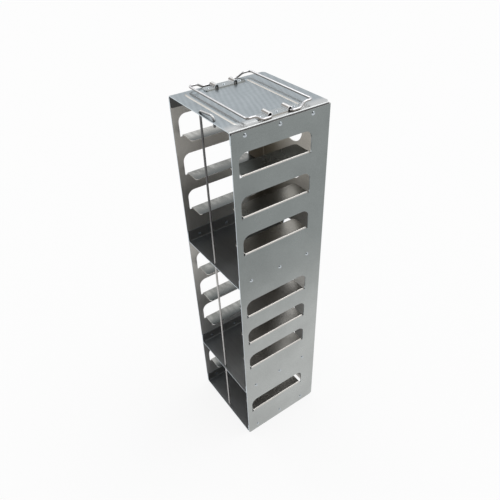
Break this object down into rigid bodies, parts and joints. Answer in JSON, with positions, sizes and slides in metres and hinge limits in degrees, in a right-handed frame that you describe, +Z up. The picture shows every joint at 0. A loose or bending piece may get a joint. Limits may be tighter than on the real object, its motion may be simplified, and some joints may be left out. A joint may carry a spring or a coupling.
{
  "type": "vertical freezer rack",
  "caption": "Tall open-fronted rack of folded stainless sheet for stacking sample boxes in a chest freezer, with side tabs, shelves, a lift-out locking rod and folding wire handles.",
  "frame": {"origin": "middle of the footprint, on the surface that the rack stands on", "axes": "+X to the right-hand side as seen from the open front, -Y out of the open front, +Z up"},
  "size_m": [0.146, 0.1454, 0.5804],
  "materials": {
    "case_sheet": "satin",
    "shelf_sheet": "satin",
    "top_sheet": "satin",
    "strip_sheet": "satin",
    "handle_wire": "polished",
    "rod_wire": "polished",
    "rivet_steel": "polished"
  },
  "bodies": {
    "rack": {"folded_case": "case_sheet", "base_plate": "shelf_sheet", "lower_shelf": "shelf_sheet", "upper_shelf": "shelf_sheet", "top_plate": "top_sheet", "left_hinge_strip": "strip_sheet", "right_hinge_strip": "strip_sheet", "left_top_rivets": "rivet_steel", "left_upper_shelf_rivets": "rivet_steel", "left_lower_shelf_rivets": "rivet_steel", "left_base_rivets": "rivet_steel", "right_top_rivets": "rivet_steel", "right_upper_shelf_rivets": "rivet_steel", "right_lower_shelf_rivets": "rivet_steel", "right_base_rivets": "rivet_steel", "left_hinge_strip_rivets": "rivet_steel", "right_hinge_strip_rivets": "rivet_steel"},
    "front_bail": {"front_handle": "handle_wire"},
    "rear_bail": {"rear_handle": "handle_wire"},
    "rod": {"locking_rod": "rod_wire"}
  },
  "joints": [
    {"name": "front_handle_hinge", "type": "hinge", "parent": "rack", "child": "front_bail", "pos_m": [0, -0.0134, 0.57378], "axis": [-1, 0, 0], "range_deg": [0, 100]},
    {"name": "rear_handle_hinge", "type": "hinge", "parent": "rack", "child": "rear_bail", "pos_m": [0, 0.0154, 0.57378], "axis": [1, 0, 0], "range_deg": [0, 100]},
    {"name": "locking_rod_slide", "type": "slide", "parent": "rack", "child": "rod", "axis": [0, 0, 1], "range_m": [0, 0.57]}
  ]
}
